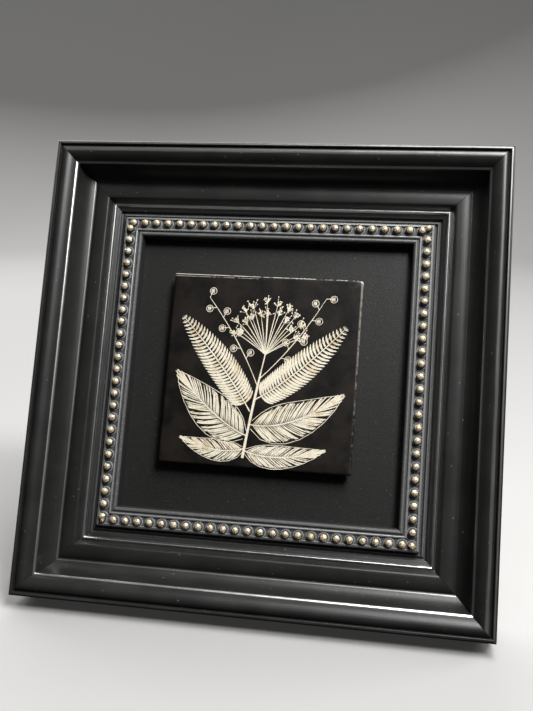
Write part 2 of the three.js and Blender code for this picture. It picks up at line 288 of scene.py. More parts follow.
class Finish:
    """A material in the making: one Principled shader and the nodes that feed it."""

    def __init__(self, name, **constants):
        self.material = bpy.data.materials.new(name)
        self.material.use_nodes = True
        self.tree = self.material.node_tree
        self.shader = self.tree.nodes["Principled BSDF"]
        for socket, value in constants.items():
            self.shader.inputs[socket.replace("_", " ")].default_value = value

    def node(self, kind, settings=None, inputs=None, output=0):
        """Adds a node. Its settings come first, then the values or links of its sockets, by name or
        number."""
        node = self.tree.nodes.new(kind)
        for name, setting in (settings or {}).items():
            setattr(node, name, setting)
        for name, given in (inputs or {}).items():
            if isinstance(given, Value):
                self.tree.links.new(given.socket, node.inputs[name])
            else:
                node.inputs[name].default_value = given
        return Value(self, node.outputs[output])

    def feed(self, **inputs):
        """Links values to the shader's own sockets."""
        for socket, given in inputs.items():
            self.tree.links.new(given.socket, self.shader.inputs[socket.replace("_", " ")])
        return self

    def lay(self):
        """The piece's own coordinates from its attribute, and their three parts."""
        return self.parts(self.node("ShaderNodeAttribute", {"attribute_name": "lay"}, output=1))

    def own_place(self):
        """Object coordinates put back into the frame's own flat axes and millimetres, and their
        three parts."""
        coordinates = self.node("ShaderNodeTexCoord", output=3)
        laid = turned(PIN_PLACE * 1000, LEAN - math.pi / 2, "X")
        return self.parts(self.node("ShaderNodeMapping", {"vector_type": "POINT"}, {
            "Vector": coordinates, "Rotation": (LEAN - math.pi / 2, 0, 0),
            "Scale": (1000, 1000, 1000), "Location": PIN - laid}))

    def parts(self, vector):
        """A vector and its three parts."""
        sockets = self.node("ShaderNodeSeparateXYZ", None, {0: vector}).socket.node.outputs
        return vector, [Value(self, socket) for socket in sockets]

    def stretched(self, vector, scale):
        """A vector multiplied part by part."""
        return self.node("ShaderNodeVectorMath", {"operation": "MULTIPLY"}, {0: vector, 1: scale})

    def noise(self, vector, scale, detail=3.0, roughness=0.55):
        """Soft cloudy noise about 0.5."""
        return self.node("ShaderNodeTexNoise", None, {
            "Vector": vector, "Scale": scale, "Detail": detail, "Roughness": roughness})

    def specks(self, vector, scale, share, size):
        """Small round specks in some cells of a random pattern: 1 inside a speck, 0 outside."""
        cells = {"Vector": vector, "Scale": scale}
        distance = self.node("ShaderNodeTexVoronoi", None, cells)
        colour = self.node("ShaderNodeTexVoronoi", None, cells, output=1)
        chance = self.node("ShaderNodeSeparateColor", None, {0: colour})
        spread = self.node("ShaderNodeSeparateColor", None, {0: colour}, output=1)
        return (chance < share) * distance.between(size * 1.2, size * 0.4) * spread

    def mixed(self, factor, first, second):
        """One colour turning into another."""
        first = first if isinstance(first, Value) else (*first, 1)
        second = second if isinstance(second, Value) else (*second, 1)
        return self.node("ShaderNodeMix", {"data_type": "RGBA"}, {0: factor, 6: first, 7: second},
                         output=2)

    def bump(self, height, distance):
        """Relief of a height from 0 to 1 over a distance in millimetres."""
        return self.node("ShaderNodeBump", None, {
            "Height": height, "Distance": distance / 1000, "Strength": 1.0})


def moulding_paint():
    """Satin black paint on wood: faint brush lines along each length, settled dust, lighter rubbed
    arrises, painted highlights along some lines on the lengths that face the light, duller outer
    sides, and bare pine with overspray on the hidden back."""
    paint = Finish("moulding_paint", Specular_IOR_Level=0.5)
    vector, (_, _, edge) = paint.lay()
    flat, (x, y, level) = paint.own_place()
    outermost = x.size().larger(y.size())
    outer_side = outermost.between(HALF - 3.6, HALF - 1.5) * level.between(-2, -5)
    drag = paint.noise(paint.stretched(vector, (1.4, 0.02, 0)), 1.0, 5.0, 0.65)
    peel = paint.noise(flat, 1.3, 2.0)
    cloud = paint.noise(flat, 0.05, 4.0)
    dust = paint.specks(flat, 0.42, 0.2, 0.16)
    scuffed = paint.noise(paint.stretched(vector, (0.9, 0.03, 0)), 1.0, 4.0)
    # Rubbed lines are lighter and metallic: worn paint on every length, and painted highlight where
    # a line is stronger, or present at all, only on the lengths that face the light
    rub_and_highlight = (edge + scuffed * 0.3 - 0.15).between(0.12, 1.0)
    tone = paint.mixed(cloud.between(0.3, 0.7), (0.0118, 0.0116, 0.0112), (0.0170, 0.0167, 0.0160))
    tone = paint.mixed(rub_and_highlight, tone, (0.86, 0.86, 0.84))
    tone = paint.mixed(dust * 0.5, tone, (0.3, 0.29, 0.27))
    bare = level.between(0.4 - BACK_DEPTH, 0.1 - BACK_DEPTH)
    grain = paint.noise(paint.stretched(vector, (1.1, 0.03, 0)), 1.0, 6.0, 0.65)
    pine = paint.mixed(grain.between(0.35, 0.68), (0.50, 0.33, 0.18), (0.30, 0.17, 0.08))
    spray = paint.noise(flat, 0.5, 5.0).between(0.60, 0.70) * 0.6
    pine = paint.mixed(spray, pine, (0.02, 0.02, 0.02))
    tone = paint.mixed(bare, tone, pine)
    sheen = 0.28 + cloud * 0.08 + drag * 0.10 - rub_and_highlight * 0.08
    sheen = sheen + dust * 0.3 + bare * 0.35 + outer_side * 0.26
    relief = drag + peel * 0.2 + dust * 0.8 + grain * bare
    return paint.feed(Base_Color=tone, Roughness=sheen, Metallic=rub_and_highlight.between(0.0, 0.25),
                      Normal=paint.bump(relief, 0.06)).material


def slip_paint():
    """Dark slate paint with pewter rubbed over its ridges, a speckled ground, and painted shade:
    its side down towards the mat is painted near black."""
    paint = Finish("slip_paint", Specular_IOR_Level=0.5)
    vector, (_, _, edge) = paint.lay()
    flat, (x, y, _) = paint.own_place()
    outermost = x.size().larger(y.size())
    # Painted shade: the slip's side from inset 49.2 down to the mat is painted near black, without
    # pewter, where shade falls between slip and mat
    sight_side_shade = outermost.between(HALF - 49.2, HALF - 49.7)
    drag = paint.noise(paint.stretched(vector, (4.5, 0.10, 0)), 1.0, 4.0)
    mottle = paint.noise(flat, 0.9, 5.0, 0.65)
    cloud = paint.noise(flat, 0.08, 3.0)
    leaf = edge.between(0.2, 0.8) * mottle.between(0.26, 0.48)
    leaf = leaf + (1 - leaf) * mottle.between(0.54, 0.72) * 0.3
    slate = paint.mixed(cloud, (0.052, 0.053, 0.054), (0.075, 0.076, 0.077))
    tone = paint.mixed(leaf, slate, (0.46, 0.46, 0.44))
    tone = paint.mixed(sight_side_shade * 0.92, tone, (0.008, 0.008, 0.008))
    metal = leaf * 0.7 * (1 - sight_side_shade)
    sheen = 0.46 - leaf * 0.18 + drag * 0.06
    relief = drag * 0.25 + mottle * 0.6
    return paint.feed(Base_Color=tone, Roughness=sheen, Metallic=metal,
                      Normal=paint.bump(relief, 0.04)).material


def bead_gilding():
    """Pale antique gold over slate: gold on the crown of each bead, worn flecks and a dark foot."""
    paint = Finish("bead_gilding", Specular_IOR_Level=0.5)
    _, (rise, chance, crest) = paint.lay()
    flat, _ = paint.own_place()
    mottle = paint.noise(flat, 1.3, 4.0, 0.6)
    cover = (rise + (mottle - 0.5) * 0.5 + (chance - 0.5) * 0.12).between(0.50, 0.66)
    fleck = paint.noise(flat, 1.1, 4.0, 0.6).between(0.52, 0.62)
    gold = paint.mixed(mottle.between(0.42, 0.58), (0.42, 0.29, 0.14), (0.95, 0.85, 0.64))
    gold = paint.mixed(fleck * 0.7, gold, (0.22, 0.14, 0.07))
    ground = paint.mixed(crest * mottle.between(0.3, 0.5), (0.06, 0.063, 0.067), (0.42, 0.42, 0.41))
    tone = paint.mixed(cover, ground, gold)
    return paint.feed(Base_Color=tone, Metallic=cover * 0.4, Roughness=0.46 - cover * 0.04,
                      Normal=paint.bump(mottle, 0.08)).material


def mat_paper():
    """Black mat paper: fine felt grain, a few pale fibres and dust."""
    paper = Finish("mat_paper", Specular_IOR_Level=0.45)
    flat, _ = paper.own_place()
    grain = paper.noise(flat, 1.1, 6.0, 0.75)
    cloud = paper.noise(flat, 0.03, 3.0)
    dust = paper.specks(flat, 0.5, 0.25, 0.14)
    tone = paper.mixed(grain.between(0.3, 0.7), (0.0045, 0.0043, 0.0040), (0.014, 0.0135, 0.0126))
    tone = paper.mixed(cloud.between(0.3, 0.7) * 0.3, tone, (0.010, 0.0096, 0.009))
    tone = paper.mixed(dust * 0.35, tone, (0.30, 0.29, 0.27))
    return paper.feed(Base_Color=tone, Roughness=0.42 + grain * 0.12,
                      Normal=paper.bump(grain, 0.12)).material


def panel_ink():
    """Semi-gloss black ink on white clay: warm mottling, and pale clay colour along the top and
    right edges and at the upper right corner, partly worn clay and partly painted highlight on the
    edges that face the light.
    """
    ink = Finish("panel_ink", Specular_IOR_Level=0.35)
    place, (x, y, height) = ink.lay()
    cloud = ink.noise(place, 0.06, 5.0, 0.6)
    fine = ink.noise(place, 0.7, 4.0)
    ragged = ink.noise(place, 0.45, 4.0)
    rim = PANEL_HALF - 0.2
    # Pale clay colour on the top and right edges and the upper right corner only: partly worn clay,
    # partly painted highlight on the edges that face the light
    top = y.between(rim - 0.5, rim) * (ragged - x * 0.002).between(0.34, 0.50) * 0.7
    line = 1 - (y - (rim - 1.2)).size().between(0.1, 0.25)
    second = line * (ragged - x * 0.006).between(0.56, 0.66)
    right = x.between(rim - 1, rim) * (ragged + y * 0.004).between(0.36, 0.66) * 0.3
    corner = (x + y).between(2 * rim - 2, 2 * rim - 1) * ragged.between(0.25, 0.4)
    clay = top.larger(second * 0.35).larger(right).larger(corner)
    tone = ink.mixed(cloud.between(0.35, 0.65), (0.0018, 0.0017, 0.0015), (0.0105, 0.0074, 0.0052))
    side = height.between(-0.9, -1.6)
    tone = ink.mixed(side * ragged.between(0.45, 0.65), tone, (0.10, 0.075, 0.05))
    tone = ink.mixed(clay, tone, (0.72, 0.67, 0.58))
    return ink.feed(Base_Color=tone, Roughness=0.30 + cloud * 0.16 + fine * 0.10 + clay * 0.3,
                    Normal=ink.bump(fine * 0.5 + cloud, 0.08)).material


def scratched_clay():
    """Cream clay that the engraving tool laid bare, a little dirty on some strokes and in patches.
    """
    clay = Finish("scratched_clay", Specular_IOR_Level=0.3)
    _, (_, chance, _) = clay.lay()
    flat, _ = clay.own_place()
    fine = clay.noise(flat, 2.2, 4.0, 0.65)
    tone = clay.mixed(fine.between(0.35, 0.6), (0.60, 0.52, 0.37), (0.90, 0.85, 0.71))
    tone = clay.mixed(chance * 0.25, tone, (0.72, 0.64, 0.47))
    stain = clay.noise(flat, 0.12, 5.0, 0.65).between(0.50, 0.66)
    tone = clay.mixed(stain * 0.6, tone, (0.56, 0.42, 0.24))
    return clay.feed(Base_Color=tone, Roughness=0.70 + fine * 0.2,
                     Normal=clay.bump(fine, 0.05)).material


def fibreboard():
    """Raw brown hardboard: short fibres in every direction, darker specks and a soft sheen."""
    board = Finish("fibreboard", Specular_IOR_Level=0.4)
    flat, _ = board.own_place()
    hairs = board.noise(board.stretched(flat, (0.35, 2.6, 1)), 1.0, 5.0, 0.7)
    crossed = board.noise(board.stretched(flat, (2.2, 0.4, 1)), 1.0, 5.0, 0.7)
    cloud = board.noise(flat, 0.025, 3.0)
    specks = board.specks(flat, 0.8, 0.3, 0.2)
    tone = board.mixed((hairs * 0.5 + crossed * 0.5).between(0.36, 0.64),
                       (0.155, 0.090, 0.045), (0.30, 0.19, 0.105))
    tone = board.mixed(cloud * 0.35, tone, (0.21, 0.135, 0.075))
    tone = board.mixed(specks * 0.6, tone, (0.06, 0.035, 0.02))
    return board.feed(Base_Color=tone, Roughness=0.58 + hairs * 0.2,
                      Normal=board.bump(hairs + crossed, 0.07)).material


def foam_core():
    """Black-faced foam board: matte skin with a fine cell pattern at its edges."""
    foam = Finish("foam_core", Specular_IOR_Level=0.3)
    flat, _ = foam.own_place()
    cells = foam.node("ShaderNodeTexVoronoi", None, {"Vector": flat, "Scale": 2.0})
    cloud = foam.noise(flat, 0.1, 3.0)
    tone = foam.mixed(cells, (0.012, 0.012, 0.012), (0.035, 0.035, 0.034))
    return foam.feed(Base_Color=tone, Roughness=0.8 + cloud * 0.15,
                     Normal=foam.bump(cells, 0.1)).material


def strut_paper():
    """Black embossed paper wrapped round the strut's board, rubbed brown at its edges."""
    paper = Finish("strut_paper", Specular_IOR_Level=0.45)
    place, (_, _, edge) = paper.lay()
    pebbles = paper.node("ShaderNodeTexVoronoi", {"feature": "SMOOTH_F1"},
                         {"Vector": place, "Scale": 1.25})
    cloud = paper.noise(place, 0.08, 4.0)
    worn = edge.between(0.5, 1.0) * paper.noise(place, 0.5, 4.0).between(0.45, 0.62)
    tone = paper.mixed(cloud, (0.014, 0.014, 0.015), (0.026, 0.025, 0.025))
    tone = paper.mixed(worn * 0.8, tone, (0.20, 0.13, 0.08))
    return paper.feed(Base_Color=tone, Roughness=0.45 + pebbles * 0.2,
                      Normal=paper.bump(pebbles, 0.14)).material


def zinc():
    """Zinc-plated pressed steel: fine brushing, clouded plating and darker stains."""
    steel = Finish("zinc", Metallic=1.0)
    flat, _ = steel.own_place()
    brushed = steel.noise(steel.stretched(flat, (0.6, 7.0, 1.0)), 1.0, 4.0)
    cloud = steel.noise(flat, 0.35, 4.0)
    stain = steel.noise(flat, 0.12, 5.0, 0.65).between(0.56, 0.72)
    tone = steel.mixed(cloud.between(0.3, 0.7), (0.42, 0.41, 0.39), (0.58, 0.565, 0.53))
    tone = steel.mixed(stain * 0.5, tone, (0.30, 0.27, 0.22))
    return steel.feed(Base_Color=tone, Roughness=0.38 + brushed * 0.14 + stain * 0.2,
                      Normal=steel.bump(brushed, 0.03)).material


FINISHES = {make.__name__: make() for make in (
    moulding_paint, slip_paint, bead_gilding, mat_paper, panel_ink, scratched_clay, fibreboard,
    foam_core, strut_paper, zinc)}


# Moulding and slip

MITRE_GAP = 0.12
STATIONS = 9
MOULDING_ARRIS = 0.16
SLIP_ARRIS = 0.112
PLAIN_WEAR = 0.15
FRONT_REACH = REBATE_DEPTH + 0.2

MOULDING_OUTLINE = np.vstack([
    [(3, BACK_DEPTH), (0, 12), (0, 1.8)],
    bow((0, 1.8), (0.2, 0.1), (2.0, 0)),
    [(2.3, 0.5), (2.5, 1.7), (2.9, 1.7)],
    curve((2.9, 1.7), (3.3, -0.8), (7.4, -1.4), (11.0, 3.4)),
    bow((11.0, 3.4), (12.2, 3.7), (12.6, 5.2)),
    curve((12.6, 5.2), (13.4, 10), (15.2, 14.2), (20.0, 16.0)),
    curve((20.0, 16.0), (21.8, 14.5), (24.5, 14.4), (27.5, 14.7)),
    curve((27.5, 14.7), (29, 14.9), (29.2, 17.6), (30.7, 18.4)),
    bow((30.7, 18.4), (31.6, 16.3), (32.5, 18.6)),
    [(SIGHT_INSET, 19.4), (SIGHT_INSET, REBATE_DEPTH), (REBATE_INSET, REBATE_DEPTH),
     (REBATE_INSET, BACK_DEPTH)]])

SLIP_OUTLINE = np.array([
    (31.3, 22.7), (31.3, 20.8), (35.3, 20.8), (35.6, 21.2), (37.3, 19.6), (37.55, 21.3),
    (38.55, 21.3), (38.75, 16.8), (40.1, 15.95), (40.4, 17), (45.1, 17), (45.35, 16.3),
    (45.9, 15.9), (46.5, 16.1), (46.8, 16.9), (47.2, 16.9), (47.4, 16.4), (47.8, 16.05),
    (48.4, 15.95), (49.0, 16.2), (49.6, 16.9), (50.0, 17.9), (SLIP_INSET, 19.7),
    (SLIP_INSET, 22.7)])

# Lines along the moulding and the slip that handling has rubbed, and on the moulding per side lines
# of painted highlight: inset, half width and strength
MOULDING_RUBS = ((1.3, 0.5, 0.38), (31.6, 0.95, 1.0), (34.4, 0.5, 0.16))
# Per side, partly painted highlight: the torus line at 5.0 on the top and right lengths and the
# cove's foot line at 19.1 on the bottom and left lengths are painted highlights where light falls,
# and the rubbed arris at 11.8 is painted brighter on the bottom and left lengths as highlight
SIDE_RUBS_AND_HIGHLIGHTS = {
    "bottom": ((11.8, 0.5, 1.0), (19.1, 0.45, 0.48)),
    "right": ((5.0, 1.3, 0.25), (11.8, 0.5, 0.72)),
    "top": ((5.0, 1.4, 0.31), (11.8, 0.5, 0.68)),
    "left": ((11.8, 0.5, 1.0), (19.1, 0.45, 0.42))}
SLIP_RUBS = ((37.0, 0.4, 0.35), (39.7, 0.6, 0.9), (45.9, 0.6, 0.9), (48.1, 0.7, 0.34))


def mitre_reach(inset):
    """How far a length runs to each side of its middle at an inset."""
    return HALF - inset - MITRE_GAP / math.sqrt(2)


def mitred_length(name, outline, rubs_and_highlights, radius, side, finish, cad_node):
    """A length of moulding: its rounded section, carried along from mitre to mitre. A point's place
    along is its station, from -1 to 1, times how far the length reaches at the point's inset. Its
    wear value is the sharpness of the arris, or a bell curve about each rubbed line on the front;
    on the moulding some of these lines are painted highlights, given per side where light falls."""
    section, arris = rounded_outline(outline, radius)
    inset, depth = section.T
    arris = arris * PLAIN_WEAR
    for line, width, strength in rubs_and_highlights:
        bell = np.exp(-((inset - line) / width) ** 4) * (depth < FRONT_REACH)
        arris = np.maximum(arris, bell * strength)
    station = np.linspace(-1, 1, STATIONS)[:, None]
    along = station * mitre_reach(inset)
    points = np.stack(np.broadcast_arrays(along, inset - HALF, -depth), -1).reshape(-1, 3)
    step = np.linalg.norm(np.diff(section, axis=0, prepend=section[:1]), axis=1)
    around = np.cumsum(step)
    lay = np.stack(np.broadcast_arrays(around, along, arris), -1).reshape(-1, 3)
    quarter = TURNS[side] * math.pi / 2
    faces = shell_faces(STATIONS, len(section))
    make_piece(name, turned(points, quarter, "Z"), faces, finish, [cad_node], lay)


BEAD_SIDES = 16
BEAD_ANGLES = np.radians([86, 68, 50, 32, 14, -2, -14])
COLLAR = np.array([(2.36, -0.66), (2.52, -0.5), (2.74, -0.5), (2.95, -0.75), (3.1, -1.2)])
COLLAR_CREST = 2.63
CREST_WIDTH = 0.16
BEAD_RINGS = len(BEAD_ANGLES) + len(COLLAR)


def bead_row(side):
    """One row of beads. Each is a sphere down to just below its equator, where a ring's radius is
    the cosine and its height the sine of its angle times the bead's radius, and then a low collar.
    Each has a slightly different size and place, and is flattened where it meets the mitre."""
    beads = BEADS_PER_ROW + MORE_BEADS.get(side, 0)
    centre = ROW_SHIFT[side] + (np.arange(beads) - (BEADS_PER_ROW - 1) / 2) * BEAD_PITCH
    centre = centre + rng.normal(0, BEAD_JITTER, beads)
    size = BEAD_RADIUS * rng.uniform(SMALLEST_BEAD, 1.0, beads)
    around = np.linspace(0, 2 * math.pi, BEAD_SIDES, endpoint=False)[None, None, :]
    collar = np.broadcast_to(COLLAR, (beads, *COLLAR.shape))
    dome = size[:, None, None] * np.stack([np.cos(BEAD_ANGLES), np.sin(BEAD_ANGLES)], -1)
    profile = np.concatenate([dome, collar], 1)[:, :, None, :]
    radius = profile[..., 0]
    height = profile[..., 1] + 0 * around
    inset = BEAD_INSET + radius * np.sin(around)
    reach = mitre_reach(inset) + WHOLE_END.get(side, 0)
    along = np.clip(centre[:, None, None] + radius * np.cos(around), -reach, reach)
    points = np.stack([along, inset - HALF, height - BEAD_DEPTH], -1).reshape(-1, 3)
    chance = np.broadcast_to(rng.random(beads)[:, None, None], height.shape)
    crest = np.exp(-((radius - COLLAR_CREST) / CREST_WIDTH) ** 2) * (height < 0)
    lay = np.stack([height / BEAD_RADIUS, chance, crest], -1).reshape(-1, 3)
    quarter = TURNS[side] * math.pi / 2
    faces = shell_faces(BEAD_RINGS, BEAD_SIDES, beads)
    make_piece(f"bead_row_{side}", turned(points, quarter, "Z"), faces,
               FINISHES["bead_gilding"], [f"bead_slip_{side}"], lay, crease=70)


for side in TURNS:
    mitred_length(f"painted_moulding_{side}", MOULDING_OUTLINE, MOULDING_RUBS + SIDE_RUBS_AND_HIGHLIGHTS[side],
                  MOULDING_ARRIS, side, FINISHES["moulding_paint"], f"moulding_{side}")
    mitred_length(f"slip_length_{side}", SLIP_OUTLINE, SLIP_RUBS, SLIP_ARRIS, side,
                  FINISHES["slip_paint"], f"bead_slip_{side}")
    bead_row(side)


# Panel and its engraving

EDGE_STEPS = 40
CORNER_STEPS = 6
CORNER_RADIUS = 0.7
NICK_DEPTH = 0.12
NICK_LEVEL = -0.2
NICK_REACH = 0.35
CORNER_LOSS = 0.5
CORNER_REACH = 1.6
CORNER_FLOOR = -3.0


def square_path():
    """A square of half side 1 with unit outward directions: even steps along each side, and a few
    points at each corner that differ in direction alone."""
    side = np.linspace(-1, 1, EDGE_STEPS)
    arc = np.linspace(0, math.pi / 2, CORNER_STEPS + 2)[1:-1]
    straight = np.stack([np.ones(EDGE_STEPS), side], 1)
    places = np.vstack([straight, np.ones((CORNER_STEPS, 2))])
    fan = np.stack([np.cos(arc), np.sin(arc)], 1)
    outward = np.vstack([np.tile([1.0, 0.0], (EDGE_STEPS, 1)), fan])
    quarters = [np.array(Matrix.Rotation(k * math.pi / 2, 2)) for k in range(4)]
    return (np.vstack([places @ q.T for q in quarters]),
            np.vstack([outward @ q.T for q in quarters]))


def panel_board():
    """The panel: rings round a rounded square, from the middle of its back, over its side and
    broken front edge, to the middle of its face. A ring is the square of its half side, less the
    corner's radius, plus that radius outwards. The front edge is nicked by a random walk, most near
    NICK_LEVEL, and the upper right corner is worn away by a bell curve, down to CORNER_FLOOR."""
    places, outward = square_path()
    inward = np.array([51.9, 0.6, 0, 0, 0.05, 0.25, 0.6, 1.4, 6, 22, 51.9])
    height = np.array([0, 0, 0.5, 3.2, 3.6, 3.85, 3.97, 4, 4, 4, 4]) - PANEL_THICKNESS
    half = PANEL_HALF - inward
    near_edge = (inward < 2)[:, None]
    radius = np.minimum(CORNER_RADIUS, half * 0.9)
    core = (half - radius)[:, None, None]
    flat = core * places + radius[:, None, None] * outward
    nick = np.cumsum(rng.normal(0, 1, len(places)))
    nick = np.abs(nick - np.linspace(0, nick[-1], len(places)))
    nick = NICK_DEPTH * nick / nick.max()
    loose = np.exp(-((height - NICK_LEVEL) / NICK_REACH) ** 2)[:, None] * nick
    off_corner = np.linalg.norm(flat - (PANEL_HALF - 0.4), axis=2)
    corner = np.exp(-off_corner ** 2 / CORNER_REACH) * CORNER_LOSS
    drawn = (loose + corner * (height > CORNER_FLOOR)[:, None]) * near_edge
    flat = flat - drawn[..., None] * outward
    drop = height[:, None] - drawn * 0.5
    points = np.concatenate([flat, drop[..., None]], -1).reshape(-1, 3)
    faces = shell_faces(len(half), len(places))
    make_piece("engraved_panel", points, faces, FINISHES["panel_ink"], ["art_panel"],
               points, place=lambda p: stand(on_panel(p)), crease=50)


def arc_lines(start, control, end, width, taper=(0.15, 0.15)):
    """Engraved strokes, each a quadratic curve, a widest width and a share of it at each tip."""
    curves = [np.atleast_2d(np.asarray(p, float)) for p in (start, control, end)]
    count = max(len(points) for points in curves)
    *curves, tips = [np.broadcast_to(points, (count, 2)) for points in (*curves, taper)]
    return np.hstack([*curves, np.broadcast_to(width, count)[:, None], tips])


def along_curve(start, control, end, t):
    """Places and unit directions at shares t of a quadratic curve."""
    start, control, end = (np.asarray(p, float) for p in (start, control, end))
    t = np.asarray(t)[:, None]
    place = (1 - t) ** 2 * start + 2 * t * (1 - t) * control + t ** 2 * end
    ahead = 2 * (1 - t) * (control - start) + 2 * t * (end - control)
    return place, ahead / np.linalg.norm(ahead, axis=1, keepdims=True)


def sideways(direction):
    """Directions turned a quarter to the left."""
    return np.stack([-direction[:, 1], direction[:, 0]], 1)


def broad_leaf(base, control, tip, half_width, veins):
    """A leaf: its midrib, two margins, and hatching that sweeps from the midrib forwards to the
    margin. The margin's distance from the midrib is the half width times a skewed sine."""
    lines = [arc_lines(base, control, tip, 0.9, (0.9, 0.2))]
    t = np.linspace(0.04, 0.9, veins)
    root, _ = along_curve(base, control, tip, t)
    reach = np.minimum(t + 0.15 + 0.04 * rng.random(veins), 0.985)
    ahead, direction = along_curve(base, control, tip, reach)
    swell = half_width * np.sin(math.pi * reach ** 0.8) ** 0.8
    for side in (1, -1):
        edge = ahead + side * sideways(direction) * (swell * rng.uniform(0.86, 1.0, veins))[:, None]
        middle = root * 0.42 + edge * 0.58 - direction * (swell * 0.12)[:, None]
        lines.append(arc_lines(root, middle, edge, rng.uniform(0.5, 0.95, veins), (0.15, 0.5)))
        inner = root * 0.25 + edge * 0.75
        short = arc_lines(inner + direction * 0.8, edge + direction * 0.2, edge + direction * 1.1,
                          0.45, (0.1, 0.4))
        lines.append(short[::2])
        rim_t = np.linspace(0.02, 1.0, 9)
        rim, rim_ahead = along_curve(base, control, tip, rim_t)
        rim_swell = half_width * 1.06 * np.sin(math.pi * rim_t ** 0.8) ** 0.8
        rim = rim + side * sideways(rim_ahead) * rim_swell[:, None]
        lines.append(arc_lines(rim[:-1], (rim[:-1] + rim[1:]) / 2, rim[1:], 0.36, (0.9, 0.9)))
    return lines


def fern(base, control, tip, length, pairs):
    """A frond: a stem and pairs of leaflets that shorten towards the tip and sweep forwards."""
    lines = [arc_lines(base, control, tip, 0.8, (1.0, 0.3))]
    t = np.linspace(0.1, 0.98, pairs)
    root, direction = along_curve(base, control, tip, t)
    grown = length * np.sin(math.pi * (0.18 + 0.82 * t)) ** 0.7 + 0.8
    for side in (1, -1):
        out = side * sideways(direction)
        end = root + out * (grown * 0.9)[:, None] + direction * (grown * 0.5)[:, None]
        middle = root + out * (grown * 0.55)[:, None] + direction * (grown * 0.08)[:, None]
        lines.append(arc_lines(root, middle, end, 0.35 + grown * 0.13, (0.25, 0.15)))
        notch = root + (end - root) * 0.55 + direction * 0.9
        lines.append(arc_lines(root + direction * 0.5, middle + direction * 0.8, notch, 0.3))
    return lines


def seed_head(base, reach, rays, spread, tilt=0.0):
    """A flat head of seeds: rays that bow outwards from the end of a stem, each under a loose round
    cluster of seeds. The outer rays are shorter, so that the head is domed."""
    angle = np.linspace(-spread, spread, rays) + rng.normal(0, 0.02, rays)
    length = reach * rng.uniform(0.9, 1.0, rays) * (1 - 0.22 * (angle / spread) ** 2)
    length = length * np.where(np.arange(rays) % 2, 0.78, 1.0)
    aim = np.stack([np.sin(angle + tilt), np.cos(angle + tilt)], 1)
    upright = np.array([math.sin(tilt), math.cos(tilt)])
    end = np.asarray(base) + aim * length[:, None]
    control = np.asarray(base) + (0.8 * aim + 0.1 * upright) * (length * 0.5)[:, None]
    seeds = 16
    place = end[:, None, :] + rng.normal(0, 1.25, (rays, seeds, 2))
    turn = rng.uniform(0, math.pi, (rays, seeds))
    half = 0.28 * np.stack([np.cos(turn), np.sin(turn)], -1)
    place, half = place.reshape(-1, 2), half.reshape(-1, 2)
    stalk = np.repeat(end - aim * 2.4, seeds, 0)
    grain = rng.uniform(0.65, 1.1, len(place))
    return [arc_lines(base, control, end, 0.5, (0.7, 0.5)),
            arc_lines(stalk, (stalk + place) / 2, place, 0.2, (0.9, 0.9)),
            arc_lines(place - half, place, place + half, grain, (0.8, 0.8))]


def berry_twig(base, control, tip, berries, size):
    """A thin twig with round berries beside it: each a ring of arcs round a few short hatches."""
    lines = [arc_lines(base, control, tip, 0.55, (1.0, 0.5))]
    t = np.linspace(0.3, 1.0, berries)
    root, direction = along_curve(base, control, tip, t)
    side = np.where(np.arange(berries) % 2, 1.0, -1.0)[:, None]
    centre = root + sideways(direction) * side * (size * 1.9) + direction * size
    lines.append(arc_lines(root, (root + centre) / 2 + direction * 0.4, centre, 0.4, (0.9, 0.9)))
    corner = np.linspace(0, 2 * math.pi, 9)
    ring = np.stack([np.cos(corner), np.sin(corner)], 1) * size
    wide = ring * 1.08
    first = (centre[:, None] + ring[None, :-1]).reshape(-1, 2)
    last = (centre[:, None] + ring[None, 1:]).reshape(-1, 2)
    between = (centre[:, None] + (wide[:-1] + wide[1:])[None] / 2).reshape(-1, 2)
    lines.append(arc_lines(first, between, last, 0.34, (1.0, 1.0)))
    for shift in (-0.45, -0.05, 0.3):
        low = centre + [shift * size, -0.7 * size * math.sqrt(1 - shift ** 2)]
        high = centre + [shift * size * 0.8, 0.75 * size * math.sqrt(1 - shift ** 2)]
        lines.append(arc_lines(low, (low + high) / 2 + [-0.12 * size, 0], high, 0.28 * size))
    return lines


STROKE_STEPS = 11
STROKE_SINK = 0.12
STROKE_RISE = (0.03, 0.06)
STROKE_SHOULDER = 0.85
THINNEST = 0.05
WAVER = 0.10


